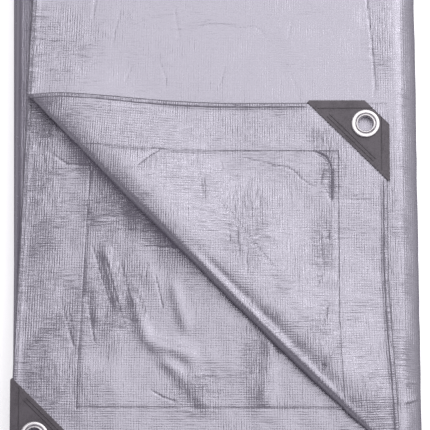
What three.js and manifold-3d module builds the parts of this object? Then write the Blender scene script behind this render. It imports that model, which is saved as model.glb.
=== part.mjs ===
// A reinforced polythene tarpaulin, folded into a flat bundle with one corner turned back.
//
// Millimetres, +Z up. The bundle lies on z = 0 with its long side along Y and its middle on the Z axis.
// The cloth is one sheet. It is folded in half and in half again across Y, which makes a stack of four
// plies. The stack is then folded along X in five levels: the top level wraps round the whole right side to
// the bottom one, and the rest fold back and forth between the two. The top ply's near left corner is turned
// back over a diagonal roll, so that its inner face, its hems and its corner patch show. The corner of the
// ply below shows in the gap that this leaves.
//
// A place on the flat sheet is (s, t): s runs along the levels from the top one's free edge, and t runs
// across the plies from the top ply's near hem to the second ply's near hem.

import * as THREE from "three";
import { mergeVertices } from "three/addons/utils/BufferGeometryUtils.js";
import Module from "manifold-3d";

const wasm = await Module();
wasm.setup();

// Cloth
const SHEET = 1.0;
const HEM_WIDTH = 38;
const HEM_STEP = 0.2; // how far the turned-in border stands proud of the inner face
const HEM_RAMP = 0.8; // width of that step, along the hem's inner line
const CLEAR = 0.3; // gap between pieces that touch

// Stack of plies, in the order in which the sheet runs through them. Each row is a straight run at one
// height above the middle of the stack, and a turn leads from its end to the next row.
const FAR_TURN_Y = 196.08;
const NEAR_TURN_Y = -195.5;
const PLY_RUNS = [
  { ply: 1, height: 2.15, yStart: -198.5, yEnd: FAR_TURN_Y, turnSteps: 6 },
  { ply: 4, height: -2.15, yStart: FAR_TURN_Y, yEnd: NEAR_TURN_Y, turnSteps: 4 },
  { ply: 3, height: -0.65, yStart: NEAR_TURN_Y, yEnd: FAR_TURN_Y, turnSteps: 4 },
  { ply: 2, height: 0.65, yStart: FAR_TURN_Y, yEnd: -195.3, turnSteps: 0 },
];
const OUTER_PLY_HEIGHT = 2.15;

// Free left edge of each ply on the top level: straight up to bendY, then slanting to its far end.
const LEFT_EDGES = [
  { height: 2.15, xNear: -147, xFar: -141, bendY: 60 },
  { height: 0.65, xNear: -154.4, xFar: -141, bendY: -130 },
  { height: -0.65, xNear: -150, xFar: -142, bendY: -100 },
  { height: -2.15, xNear: -149, xFar: -143, bendY: -100 },
];

// Levels in the order in which the stack runs through them, as a count of levels up from the bottom, and the
// turn after each: its side, and where its middle lies at the two ends of the bundle.
const LEVEL_SLOTS = [4, 0, 1, 2, 3];
const LEVEL_PITCH = 5.65;
const LEVEL_TURNS = [
  { side: 1, xNear: 144.3, xFar: 139.2, steps: 10 },
  { side: -1, xNear: -148.8, xFar: -153.04, steps: 5 },
  { side: 1, xNear: 141.5, xFar: 136.5, steps: 5 },
  { side: -1, xNear: -149.5, xFar: -150.5, steps: 5 },
];
const LAST_EDGE = { xNear: 140.5, xFar: 135.5 };
const LEVEL_RUN = 290; // length of cloth in each level

// Corner turned back: the sheet leaves the top ply along x + y = FOLD_SUM and rolls over to lie on it.
const FOLD_SUM = -54.4;
const ROLL_STEPS = 6;
const FLAP_REST = 4; // height of the flap above its own ply, once it has come down
const FLAP_SETTLE = 95; // distance from the roll over which it comes down

// How the cloth stands along the roll, as rows of [share of its length, value] from its left end to its near
// end. The roll is pinched where it meets the two hems. To the left the springy cloth lifts the ply that it
// leaves, pulls up the ply below and bulges behind the roll. To the right it dips behind the roll.
const RADIUS_AT = [[0, 1.5], [0.3, 5], [0.7, 5], [1, 1.5]];
const LIFT_AT = [[0, 4], [0.1, 6.5], [0.38, 6], [0.48, 2.5], [0.6, 0], [1, 0]];
const LOWER_LIFT_AT = [[0, 3], [0.1, 4.5], [0.38, 4.5], [0.48, 1.8], [0.58, 0], [1, 0]];
const BULGE_AT = [[0, 0], [0.08, 2.5], [0.3, 2.5], [0.42, 1], [0.5, 0], [1, 0]];
const VALLEY_AT = [[0, 0], [0.42, 0], [0.52, 1.2], [0.65, 1.8], [0.85, 1.6], [1, 0.8]];
const VALLEY_END_AT = [[0, 9], [0.5, 9], [0.65, 13], [0.8, 22], [1, 30]];
const VALLEY_START = 2.8;
const BULGE_RISE = 12; // distances from the roll
const BULGE_END = 75;
const LIFT_REACH = 70;
const LOWER_LIFT_REACH = 60;
const LOWER_FRONT_REACH = 24;

// Extra lines in the mesh, at these distances from the roll: across the flap, across the ply that it lies on,
// and across the ply below, where those in front of the roll are negative.
const FLAP_LINES = [2.8, 7, 13, 24, 45, 70, 95];
const PLY_LINES = [15, 35, 55, 70];
const LOWER_LINES = [-24, -17, -11, -5, 0, 20, 40, 60];

// Second ply's near left corner, lifted by the patch and eyelet under it.
const CORNER_LIFT = { x: -154.4, y: -195.3, height: 2.5, level: 72, fade: 165 };

// Corner patch: a moulded sleeve over the two hems of a corner, with the corner itself left bare.
const PATCH_WALL = 0.9;
const PATCH_OVERHANG = 1.8;
const PATCH_LEG_SUM = -61.3; // its long side lies on x + y = this, measured from the cloth's corner
const PATCH_CORNER_SUM = -15.5;
const PATCH_BLUNT = 3;
const GROOVE = { width: 0.8, depth: 0.3, inset: 6.5, start: -54 };
const RIBS = { insets: [3, 5.6], width: 0.8, height: 0.25, halfLength: 25 };

// Eyelet
const EYELET_INSET = 16.8; // from both edges of the cloth
const EYELET_BORE = 6;
const EYELET_BARREL = 6.7;
const EYELET_FLANGE = 11;
const EYELET_RIM = 0.9;
const EYELET_SIDES = 28;

const BOTTOM_LEVEL_Z = OUTER_PLY_HEIGHT + SHEET / 2;
const SLOT_OUTER = SHEET / 2 + CLEAR; // sleeve's clear room below and above the middle of the cloth
const SLOT_INNER = SHEET / 2 + HEM_STEP + CLEAR;
const HOLE_RADIUS = EYELET_BARREL + CLEAR;
const LARGE = 500;

const lerp = THREE.MathUtils.lerp;
const clamp = THREE.MathUtils.clamp;
const smooth = THREE.MathUtils.smoothstep;

const levelZ = (level) => BOTTOM_LEVEL_Z + LEVEL_SLOTS[level] * LEVEL_PITCH;
const endShare = (y) => clamp((y + FAR_TURN_Y) / (2 * FAR_TURN_Y), 0, 1);
const betweenEnds = (row, y) => lerp(row.xNear, row.xFar, endShare(y));

// Runs and turns across the plies, each with its stretch of t.
function plyPath() {
  const parts = [];
  let t = 0;
  PLY_RUNS.forEach((run, i) => {
    const length = Math.abs(run.yEnd - run.yStart);
    parts.push({ kind: "run", run, tStart: t, tEnd: t + length });
    t += length;
    const next = PLY_RUNS[i + 1];
    if (!next) return;
    const radius = Math.abs(run.height - next.height) / 2;
    const middle = (run.height + next.height) / 2;
    parts.push({ kind: "turn", run, radius, middle, tStart: t, tEnd: t + Math.PI * radius });
    t += Math.PI * radius;
  });
  return parts;
}
const PLY_PATH = plyPath();
const SHEET_WIDTH = PLY_PATH.at(-1).tEnd;

// Where t lies in the stack: its y, its height above the middle of the stack, and its ply (0 in a turn).
function acrossPlies(t) {
  const part = PLY_PATH.find((p) => t <= p.tEnd) ?? PLY_PATH.at(-1);
  const share = (t - part.tStart) / (part.tEnd - part.tStart);
  const { run } = part;
  if (part.kind === "run") return { y: lerp(run.yStart, run.yEnd, share), height: run.height, ply: run.ply };
  const angle = Math.PI * share;
  const outward = Math.sign(run.yEnd - run.yStart);
  const rise = Math.sign(run.height - part.middle);
  return {
    y: run.yEnd + outward * part.radius * Math.sin(angle),
    height: part.middle + rise * part.radius * Math.cos(angle),
    ply: 0,
  };
}

function leftEdge(height, y) {
  const edgeAt = (row) => lerp(row.xNear, row.xFar, clamp((y - row.bendY) / (FAR_TURN_Y - row.bendY), 0, 1));
  const below = Math.max(1, LEFT_EDGES.findIndex((row) => height >= row.height - 1e-9));
  const [upper, lower] = [LEFT_EDGES[below - 1], LEFT_EDGES[below]];
  const share = clamp((height - lower.height) / (upper.height - lower.height), 0, 1);
  return lerp(edgeAt(lower), edgeAt(upper), share);
}

// Runs and turns along the levels, each with its stretch of s.
function levelPath() {
  const parts = [];
  let s = 0;
  LEVEL_SLOTS.forEach((slot, level) => {
    parts.push({ kind: "run", level, sStart: s, sEnd: s + LEVEL_RUN });
    s += LEVEL_RUN;
    const turn = LEVEL_TURNS[level];
    if (!turn) return;
    const rise = (LEVEL_SLOTS[level + 1] - slot) * LEVEL_PITCH;
    const radius = Math.abs(rise) / 2;
    parts.push({ kind: "turn", level, turn, rise, radius, sStart: s, sEnd: s + Math.PI * radius });
    s += Math.PI * radius;
  });
  return parts;
}
const LEVEL_PATH = levelPath();
const SHEET_LENGTH = LEVEL_PATH.at(-1).sEnd;

// Where s lies among the levels, for cloth at that y and that height in the stack (level -1 in a turn).
function alongLevels(s, y, height) {
  const part = LEVEL_PATH.find((p) => s <= p.sEnd) ?? LEVEL_PATH.at(-1);
  const share = (s - part.sStart) / (part.sEnd - part.sStart);
  const { level, turn } = part;
  if (part.kind === "run") {
    const from = level === 0 ? leftEdge(height, y) : betweenEnds(LEVEL_TURNS[level - 1], y);
    const to = betweenEnds(LEVEL_TURNS[level] ?? LAST_EDGE, y);
    const facing = level % 2 === 0 ? 1 : -1;
    return { x: lerp(from, to, share), z: levelZ(level) + facing * height, level };
  }
  const up = Math.sign(part.rise);
  const angle = Math.PI * share;
  const radius = part.radius - turn.side * up * height;
  return {
    x: betweenEnds(turn, y) + turn.side * radius * Math.sin(angle),
    z: levelZ(level) + part.rise / 2 - up * radius * Math.cos(angle),
    level: -1,
  };
}

// The diagonal roll. Distances are measured square to the line where the sheet leaves its ply.
const pastFold = (x, y) => (FOLD_SUM - x - y) / Math.SQRT2;
const FOLD_FROM = 2 * LEFT_EDGES[0].xNear - FOLD_SUM; // x - y at the roll's two ends
const FOLD_TO = FOLD_SUM - 2 * PLY_RUNS[0].yStart;

// Value of a table at the place along the roll that (x, y) lies square to.
function alongRoll(rows, x, y) {
  const share = clamp((x - y - FOLD_FROM) / (FOLD_TO - FOLD_FROM), 0, 1);
  const next = Math.max(1, rows.findIndex((row) => share <= row[0]));
  const [[from, low], [to, high]] = [rows[next - 1], rows[next]];
  return lerp(low, high, smooth(share, from, to));
}
const rollRadius = (x, y) => alongRoll(RADIUS_AT, x, y);

function turnBack(point) {
  const { x, y } = point;
  const past = pastFold(x, y);
  const radius = rollRadius(x, y);
  const beyond = Math.max(0, past - Math.PI * radius);
  const lift = alongRoll(LIFT_AT, x, y);
  point.z += lift * (1 - smooth(past > 0 ? beyond : -past, 0, LIFT_REACH));
  if (past <= 0) return;
  const angle = Math.min(past / radius, Math.PI);
  const across = radius * Math.sin(angle) - beyond;
  point.x += (past - across) / Math.SQRT2;
  point.y += (past - across) / Math.SQRT2;
  const rolled = radius * (1 - Math.cos(angle));
  point.z += lerp(rolled, Math.min(rolled, FLAP_REST), smooth(beyond, 0, FLAP_SETTLE));
  const bulging = Math.sin((Math.PI / 2) * clamp(beyond / BULGE_RISE, 0, 1));
  point.z += alongRoll(BULGE_AT, x, y) * bulging * (1 - smooth(beyond, BULGE_RISE + 2, BULGE_END));
  const dipping = smooth(beyond, 0, VALLEY_START);
  const over = 1 - smooth(beyond, VALLEY_START, alongRoll(VALLEY_END_AT, x, y));
  point.z -= alongRoll(VALLEY_AT, x, y) * dipping * over;
}

// How far the ply below is pulled up by the roll, in front of it and under the flap.
function lowerLift(x, y) {
  const past = pastFold(x, y);
  const front = Math.max(0, 1 - past / LOWER_FRONT_REACH) ** 2;
  const pulled = past > 0 ? front : 1 - smooth(-past, 0, LOWER_LIFT_REACH);
  return pulled * alongRoll(LOWER_LIFT_AT, x, y);
}

function cornerLift(x, y) {
  const away = Math.hypot(x - CORNER_LIFT.x, y - CORNER_LIFT.y);
  return CORNER_LIFT.height * (1 - smooth(away, CORNER_LIFT.level, CORNER_LIFT.fade));
}

// Middle of the cloth at (s, t), as it lies in the bundle.
function lie(s, t) {
  const { y, height, ply } = acrossPlies(t);
  const { x, z, level } = alongLevels(s, y, height);
  const point = new THREE.Vector3(x, y, z);
  if (level === 0 && ply === 2) point.z += cornerLift(x, y) + lowerLift(x, y);
  if (level === 0 && ply === 1) turnBack(point);
  return point;
}

// Outward normal of the cloth's outer face.
function facing(s, t) {
  const step = 0.02;
  const [sLow, sHigh] = [Math.max(0, s - step), Math.min(SHEET_LENGTH, s + step)];
  const [tLow, tHigh] = [Math.max(0, t - step), Math.min(SHEET_WIDTH, t + step)];
  const alongS = lie(sHigh, t).sub(lie(sLow, t));
  const alongT = lie(s, tHigh).sub(lie(s, tLow));
  return alongS.cross(alongT).normalize();
}

function hemThickness(s, t) {
  const fromEdge = Math.min(s, SHEET_LENGTH - s, t, SHEET_WIDTH - t);
  return HEM_STEP * clamp((HEM_WIDTH + HEM_RAMP / 2 - fromEdge) / HEM_RAMP, 0, 1);
}

// Steps of a straight stretch, with the hem's two lines at an end that is hemmed.
function runSteps(from, to, count, hemStart, hemEnd) {
  const hem = [HEM_WIDTH - HEM_RAMP / 2, HEM_WIDTH + HEM_RAMP / 2];
  const first = hemStart ? from + hem[1] : from;
  const last = hemEnd ? to - hem[1] : to;
  const steps = [];
  if (hemStart) steps.push(from, from + hem[0]);
  for (let i = 0; i <= count; i++) steps.push(lerp(first, last, i / count));
  if (hemEnd) steps.push(to - hem[0], to);
  return steps;
}

const evenSteps = (from, to, count) => runSteps(from, to, count, false, false);

function linesAlong() {
  const lines = [];
  LEVEL_PATH.forEach((part, i) => {
    const first = i === 0;
    const last = i === LEVEL_PATH.length - 1;
    if (part.kind === "run") lines.push(...runSteps(part.sStart, part.sEnd, first ? 7 : 2, first, last));
    else lines.push(...evenSteps(part.sStart, part.sEnd, part.turn.steps).slice(1, -1));
  });
  return lines;
}

function linesAcross() {
  const lines = [];
  PLY_PATH.forEach((part, i) => {
    const first = i === 0;
    const last = i === PLY_PATH.length - 1;
    if (part.kind === "run") lines.push(...runSteps(part.tStart, part.tEnd, first || last ? 8 : 2, first, last));
    else lines.push(...evenSteps(part.tStart, part.tEnd, part.run.turnSteps).slice(1, -1));
  });
  return lines;
}

// A flat mesh: corner places, and polygons of their numbers, counter-clockwise in (s, t).
function flatGrid() {
  const along = linesAlong();
  const across = linesAcross();
  const places = across.flatMap((t) => along.map((s) => ({ s, t })));
  const polygons = [];
  for (let row = 0; row + 1 < across.length; row++) {
    for (let column = 0; column + 1 < along.length; column++) {
      const corner = row * along.length + column;
      polygons.push([corner, corner + 1, corner + along.length + 1, corner + along.length]);
    }
  }
  return { places, polygons };
}

// Cuts the polygons along the line where field(place) is zero. Neighbours share the new corners.
function splitAlong({ places, polygons }, field) {
  const values = places.map(field);
  const made = new Map();
  const between = (a, b) => {
    const key = a < b ? `${a},${b}` : `${b},${a}`;
    if (!made.has(key)) {
      const share = values[a] / (values[a] - values[b]);
      made.set(key, places.length);
      places.push({
        s: lerp(places[a].s, places[b].s, share),
        t: lerp(places[a].t, places[b].t, share),
      });
    }
    return made.get(key);
  };
  const cut = polygons.flatMap((polygon) => {
    const low = [];
    const high = [];
    polygon.forEach((a, i) => {
      const b = polygon[(i + 1) % polygon.length];
      if (values[a] <= 0) low.push(a);
      if (values[a] >= 0) high.push(a);
      if (values[a] * values[b] < 0) {
        const corner = between(a, b);
        low.push(corner);
        high.push(corner);
      }
    });
    return [low, high].filter((part) => part.length > 2);
  });
  return { places, polygons: cut };
}

// The flat mesh, cut along the lines of the diagonal roll and of the cloth behind and below it.
function flatSheet() {
  let sheet = flatGrid();
  const cut = (onPly, field) => {
    sheet = splitAlong(sheet, ({ s, t }) => {
      const { y, height, ply } = acrossPlies(t);
      const { x, level } = alongLevels(s, y, height);
      return ply === onPly && level === 0 ? field(x, y) : -1;
    });
  };
  for (let step = 0; step <= ROLL_STEPS; step++) {
    const angle = (Math.PI * step) / ROLL_STEPS;
    cut(1, (x, y) => pastFold(x, y) - angle * rollRadius(x, y));
  }
  for (const distance of FLAP_LINES) cut(1, (x, y) => pastFold(x, y) - Math.PI * rollRadius(x, y) - distance);
  for (const distance of PLY_LINES) cut(1, (x, y) => pastFold(x, y) + distance);
  for (const distance of LOWER_LINES) cut(2, (x, y) => pastFold(x, y) + distance);
  return sheet;
}

// Edges that only one polygon has, in that polygon's direction.
function rimEdges(polygons) {
  const edges = new Map();
  for (const polygon of polygons) {
    polygon.forEach((a, i) => {
      const b = polygon[(i + 1) % polygon.length];
      if (!edges.delete(`${b},${a}`)) edges.set(`${a},${b}`, [a, b]);
    });
  }
  return [...edges.values()];
}

function toSolid(positions, indices) {
  return new wasm.Manifold(
    new wasm.Mesh({
      numProp: 3,
      vertProperties: new Float32Array(positions),
      triVerts: new Uint32Array(indices),
    }),
  );
}

function solidOf(geometry) {
  const bare = geometry.clone();
  bare.deleteAttribute("normal");
  bare.deleteAttribute("uv");
  const merged = mergeVertices(bare, 1e-4);
  return toSolid(merged.attributes.position.array, merged.index.array);
}

function geometryOf(solid) {
  const { vertProperties, triVerts } = solid.getMesh();
  const geometry = new THREE.BufferGeometry();
  geometry.setAttribute("position", new THREE.BufferAttribute(vertProperties, 3));
  geometry.setIndex(new THREE.BufferAttribute(triVerts, 1));
  geometry.computeVertexNormals();
  return geometry;
}

const box = (sizeX, sizeY, sizeZ, x, y, z) =>
  solidOf(new THREE.BoxGeometry(sizeX, sizeY, sizeZ).translate(x, y, z));

function uprightCylinder(radius, height, x, y, z) {
  const cylinder = new THREE.CylinderGeometry(radius, radius, height, EYELET_SIDES);
  return solidOf(cylinder.rotateX(Math.PI / 2).translate(x, y, z));
}

// The two corners that show, each with the direction in which its edges run away from it.
const CORNERS = [
  { name: "turned", at: lie(0, 0), turn: 0 },
  { name: "lower", at: lie(0, SHEET_WIDTH), turn: Math.PI },
];

function eyeletPlace({ at, turn }) {
  const inset = new THREE.Vector3(-EYELET_INSET, -EYELET_INSET, 0);
  return inset.applyAxisAngle(new THREE.Vector3(0, 0, 1), turn).add(at);
}

function tarpSheet() {
  const { places, polygons } = flatSheet();
  const outer = [];
  const inner = [];
  for (const { s, t } of places) {
    const middle = lie(s, t);
    const normal = facing(s, t);
    outer.push(...middle.clone().addScaledVector(normal, SHEET / 2));
    inner.push(...middle.clone().addScaledVector(normal, -SHEET / 2 - hemThickness(s, t)));
  }
  const count = places.length;
  const triangles = [];
  for (const polygon of polygons) {
    for (let i = 1; i + 1 < polygon.length; i++) {
      const [a, b, c] = [polygon[0], polygon[i], polygon[i + 1]];
      triangles.push(a, b, c, count + a, count + c, count + b);
    }
  }
  for (const [a, b] of rimEdges(polygons)) {
    triangles.push(a, count + a, count + b, a, count + b, b);
  }
  let sheet = toSolid([...outer, ...inner], triangles);
  for (const corner of CORNERS) {
    const { x, y, z } = eyeletPlace(corner);
    sheet = sheet.subtract(uprightCylinder(HOLE_RADIUS, 2 * (SHEET + HEM_STEP), x, y, z));
  }
  return geometryOf(sheet);
}

// Outline of the patch, seen from above, from the cloth's corner at the origin.
function patchOutline() {
  const edge = PATCH_OVERHANG;
  const tip = PATCH_LEG_SUM - edge + PATCH_BLUNT;
  const outline = new THREE.Shape();
  outline.moveTo(PATCH_CORNER_SUM - edge, edge);
  outline.lineTo(tip, edge);
  outline.lineTo(tip - PATCH_BLUNT / 2, edge - PATCH_BLUNT / 2);
  outline.lineTo(edge - PATCH_BLUNT / 2, tip - PATCH_BLUNT / 2);
  outline.lineTo(edge, tip);
  outline.lineTo(edge, PATCH_CORNER_SUM - edge);
  return outline;
}

function patchRib(inset, top) {
  const { width, height, halfLength } = RIBS;
  const middle = (PATCH_LEG_SUM + inset * Math.SQRT2) / 2;
  const bar = new THREE.BoxGeometry(2 * halfLength, width, 2 * height).rotateZ(-Math.PI / 4);
  return solidOf(bar.translate(middle, middle, top));
}

function cornerPatch() {
  const bottom = -SLOT_OUTER - PATCH_WALL;
  const top = SLOT_INNER + PATCH_WALL;
  const blank = new THREE.ExtrudeGeometry(patchOutline(), { depth: top - bottom, bevelEnabled: false });
  let patch = solidOf(blank.translate(0, 0, bottom));
  const slotMiddle = CLEAR - LARGE / 2;
  const slotHeight = SLOT_OUTER + SLOT_INNER;
  patch = patch.subtract(box(LARGE, LARGE, slotHeight, slotMiddle, slotMiddle, (SLOT_INNER - SLOT_OUTER) / 2));
  patch = patch.subtract(uprightCylinder(HOLE_RADIUS, LARGE, -EYELET_INSET, -EYELET_INSET, 0));
  const { width, depth, inset, start } = GROOVE;
  const line = PATCH_OVERHANG - inset;
  const end = PATCH_CORNER_SUM - line;
  const length = end - start;
  patch = patch.subtract(box(length, width, 2 * depth, (start + end) / 2, line, top));
  patch = patch.subtract(box(width, length, 2 * depth, line, (start + end) / 2, top));
  for (const ribInset of RIBS.insets) patch = patch.add(patchRib(ribInset, top));
  return geometryOf(patch);
}

// Half section of the eyelet as [radius, height] from the middle of the cloth: a flat washer below, a
// barrel through the hole, and a flange above with a rolled lip round the bore.
function eyelet() {
  const under = -SLOT_OUTER - PATCH_WALL - CLEAR;
  const over = SLOT_INNER + PATCH_WALL + CLEAR + RIBS.height;
  const rim = EYELET_RIM;
  const profile = [
    [EYELET_BORE, under - rim],
    [EYELET_FLANGE - 0.4, under - rim],
    [EYELET_FLANGE, under - rim / 2],
    [EYELET_FLANGE - 0.4, under],
    [EYELET_BARREL, under],
    [EYELET_BARREL, over],
    [EYELET_FLANGE - 0.3, over],
    [EYELET_FLANGE, over + rim / 2],
    [EYELET_FLANGE - 0.8, over + rim],
    [EYELET_BORE + 2.4, over + rim],
    [EYELET_BORE + 1.9, over + rim * 0.7],
    [EYELET_BORE + 1.4, over + rim * 1.2],
    [EYELET_BORE + 0.5, over + rim * 1.2],
    [EYELET_BORE, over + rim * 0.6],
  ];
  const points = [...profile, profile[0]].map(([radius, height]) => new THREE.Vector2(radius, height));
  return new THREE.LatheGeometry(points, EYELET_SIDES).rotateX(Math.PI / 2);
}

const materials = {
  cloth: new THREE.MeshStandardMaterial({ color: 0xc3c0cb, roughness: 0.45, metalness: 0.4 }),
  patch: new THREE.MeshStandardMaterial({ color: 0x5f5b62, roughness: 0.6, metalness: 0 }),
  metal: new THREE.MeshStandardMaterial({ color: 0xe2e0e0, roughness: 0.3, metalness: 1 }),
};

function named(name, geometry, material) {
  const mesh = new THREE.Mesh(geometry, material);
  mesh.name = name;
  return mesh;
}

const foldedTarp = new THREE.Group();
foldedTarp.add(named("tarp_sheet", tarpSheet(), materials.cloth));
for (const corner of CORNERS) {
  const fittings = new THREE.Group();
  fittings.position.copy(corner.at);
  fittings.rotation.z = corner.turn;
  const ring = named(`eyelet_${corner.name}`, eyelet(), materials.metal);
  ring.position.set(-EYELET_INSET, -EYELET_INSET, 0);
  fittings.add(named(`corner_patch_${corner.name}`, cornerPatch(), materials.patch), ring);
  foldedTarp.add(fittings);
}

export default foldedTarp;
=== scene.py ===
# %% [markdown]
# # A folded tarp
#
# A tarp is one sheet of woven polythene tape, coated on both sides and here pigmented with aluminium, so that
# it is a silvery lilac grey. Its border is turned in as a hem round a thin cord, and each corner has a plastic
# patch with a metal eyelet through it. This script dresses the solids of such a tarp, folded into a flat
# bundle with one corner turned back. The solids are the frame: they say where every piece goes.
#
# Blender works in metres and a tarp maker in millimetres, so sizes below are in millimetres, and `MM` turns
# them into metres where a mesh is made.

# %% Frame
import math

import bmesh
import bpy
from mathutils import Matrix, Vector, noise


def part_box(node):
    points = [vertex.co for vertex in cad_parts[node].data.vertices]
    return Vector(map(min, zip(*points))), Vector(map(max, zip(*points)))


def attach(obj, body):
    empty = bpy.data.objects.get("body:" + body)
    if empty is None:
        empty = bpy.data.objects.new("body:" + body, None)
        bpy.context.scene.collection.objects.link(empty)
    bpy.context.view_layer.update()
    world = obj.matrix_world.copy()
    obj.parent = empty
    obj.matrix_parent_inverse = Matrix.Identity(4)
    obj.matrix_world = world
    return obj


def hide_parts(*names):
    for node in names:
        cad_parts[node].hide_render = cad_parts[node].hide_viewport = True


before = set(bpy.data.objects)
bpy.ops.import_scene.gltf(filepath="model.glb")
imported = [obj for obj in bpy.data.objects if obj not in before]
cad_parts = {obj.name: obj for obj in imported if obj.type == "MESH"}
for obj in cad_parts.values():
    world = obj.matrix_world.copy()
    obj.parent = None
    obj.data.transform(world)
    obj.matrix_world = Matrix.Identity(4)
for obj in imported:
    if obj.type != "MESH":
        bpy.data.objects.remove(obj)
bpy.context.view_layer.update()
MM = 0.001


# %% [markdown]
# ## How the sheet is folded
#
# The cloth could be dropped into place by a simulation, but twenty plies that touch are slow to settle and
# hard to steer. A tarp is folded by hand along straight lines, so the fold can be written down: a place on the flat
# sheet has a length `s` along the levels of the bundle and a width `t` across the plies of one level, and two
# paths say where each ends up. Each path is a list of straight runs with half-round turns between them. The
# turn that shows on the right has been pressed, so it is a little flatter than round at its top.

# %% Small helpers for blending numbers
def lerp(a, b, share):
    return a + (b - a) * share


def clamp(value, low=0.0, high=1.0):
    return max(low, min(high, value))


def smooth(value, low, high):
    share = clamp((value - low) / (high - low))
    return share * share * (3 - 2 * share)


# %% Path across the four plies of a level
FAR_Y, NEAR_Y = 196.08, -195.5
TOP_PLY, SECOND_PLY = 2.15, 0.65  # heights above the middle of a level
PLY_RUNS = [  # ply, height above the middle of the level, y where the run starts and ends
    (1, TOP_PLY, -198.5, FAR_Y),
    (4, -2.15, FAR_Y, NEAR_Y),
    (3, -0.65, NEAR_Y, FAR_Y),
    (2, SECOND_PLY, FAR_Y, -195.3),
]


def path_of(runs):
    """Rows of (start, end, run number, is it a turn) from pairs of run length and turn length."""
    rows, place = [], 0.0
    for number, lengths in enumerate(runs):
        for is_turn, length in enumerate(lengths):
            if length:
                rows.append((place, place + length, number, bool(is_turn)))
                place += length
    return rows


def ply_lengths():
    heights = [run[1] for run in PLY_RUNS]
    turns = [math.pi * abs(a - b) / 2 for a, b in zip(heights, heights[1:])] + [0]
    return [(abs(run[3] - run[2]), turn) for run, turn in zip(PLY_RUNS, turns)]


PLY_PATH = path_of(ply_lengths())
SHEET_WIDTH = PLY_PATH[-1][1]


def place_on(path, length):
    """Row of the path that holds this length, and the share of the row before it."""
    row = next((r for r in path if length <= r[1] + 1e-6), path[-1])
    return row, clamp((length - row[0]) / (row[1] - row[0]))


def across_plies(t):
    """y, height in the level and ply number (0 in a turn) of a place across the sheet."""
    (_, _, number, is_turn), share = place_on(PLY_PATH, t)
    ply, height, y_start, y_end = PLY_RUNS[number]
    if not is_turn:
        return lerp(y_start, y_end, share), height, ply
    half = (height - PLY_RUNS[number + 1][1]) / 2
    outward = math.copysign(abs(half) * math.sin(math.pi * share), y_end - y_start)
    return y_end + outward, height - half + half * math.cos(math.pi * share), 0


print(f"sheet is {SHEET_WIDTH:.1f} mm across its plies")

# %% Path along the five levels
LEVEL_SLOTS = [4, 0, 1, 2, 3]  # levels in the order of the cloth, counted up from the bottom
LEVEL_PITCH, LEVEL_RUN, BOTTOM_LEVEL_Z = 5.65, 290.0, 2.65
LEVEL_TURNS = [  # side, and x of the turn's middle at the near and far ends of the bundle
    (1, 144.3, 141.8),
    (-1, -148.8, -153.04),
    (1, 141.5, 136.5),
    (-1, -149.5, -150.5),
    (1, 140.5, 135.5),  # not a turn: the cloth's last edge
]
LEFT_EDGES = [  # height of the ply, x of its free edge at the near and far ends, y where it starts to slant
    (2.15, -147.0, -141.0, 60.0),
    (0.65, -154.4, -141.0, -130.0),
    (-0.65, -150.0, -142.0, -100.0),
    (-2.15, -149.0, -143.0, -100.0),
]
SIDE_DENT = 0.156  # how flat the right turn is pressed, as a share of its radius
RISES = [(b - a) * LEVEL_PITCH for a, b in zip(LEVEL_SLOTS, LEVEL_SLOTS[1:])]
LEVEL_PATH = path_of([(LEVEL_RUN, math.pi * abs(rise) / 2) for rise in RISES] + [(LEVEL_RUN, 0)])
SHEET_LENGTH = LEVEL_PATH[-1][1]


def turn_x(number, y):
    _, near, far = LEVEL_TURNS[number]
    return lerp(near, far, clamp((y + FAR_Y) / (2 * FAR_Y)))


def left_edge(height, y):
    at = [lerp(near, far, clamp((y - bend) / (FAR_Y - bend))) for _, near, far, bend in LEFT_EDGES]
    heights = [row[0] for row in LEFT_EDGES]
    upper = next((i for i in range(2) if height >= heights[i + 1] - 1e-9), 2)
    share = clamp((height - heights[upper + 1]) / (heights[upper] - heights[upper + 1]))
    return lerp(at[upper + 1], at[upper], share)


def along_levels(s, y, height):
    """x, z and level (-1 in a turn) of a place along the sheet, in the ply at this height."""
    (_, _, level, is_turn), share = place_on(LEVEL_PATH, s)
    level_z = BOTTOM_LEVEL_Z + LEVEL_SLOTS[level] * LEVEL_PITCH
    if not is_turn:
        start = left_edge(height, y) if level == 0 else turn_x(level - 1, y)
        return lerp(start, turn_x(level, y), share), level_z + (-1) ** level * height, level
    side, rise = LEVEL_TURNS[level][0], RISES[level]
    up = math.copysign(1, rise)
    radius = abs(rise) / 2 - side * up * height
    angle = math.pi * share
    if level == 0 and angle < math.pi / 2:
        radius *= 1 - SIDE_DENT * math.sin(2 * angle) * math.cos(angle)
    x = turn_x(level, y) + side * radius * math.sin(angle)
    return x, level_z + rise / 2 - up * radius * math.cos(angle), -1


print(f"sheet is {SHEET_LENGTH:.1f} mm along its levels")

# %% [markdown]
# ## The corner that is turned back
#
# The top ply leaves its place along a diagonal, goes over a soft roll and lies back on itself with its inner
# face up. The roll is full in the middle and pinched at both ends, where the stiff hems cross it. Towards the
# left the springy cloth lifts its own ply off the one below and bulges behind the roll, and towards the right
# it comes down quickly. Short tables along the fold give these heights. The corner of the ply below is held
# up a little by its own patch and eyelet.

# %% Diagonal roll and lifted corner
ROOT2 = math.sqrt(2)
FOLD_SUM = -54.4  # the cloth leaves its ply where x + y is this
FLAP_REST, FLAP_SETTLE = 4.0, 95.0
LIFT_REACH = 70.0
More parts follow.
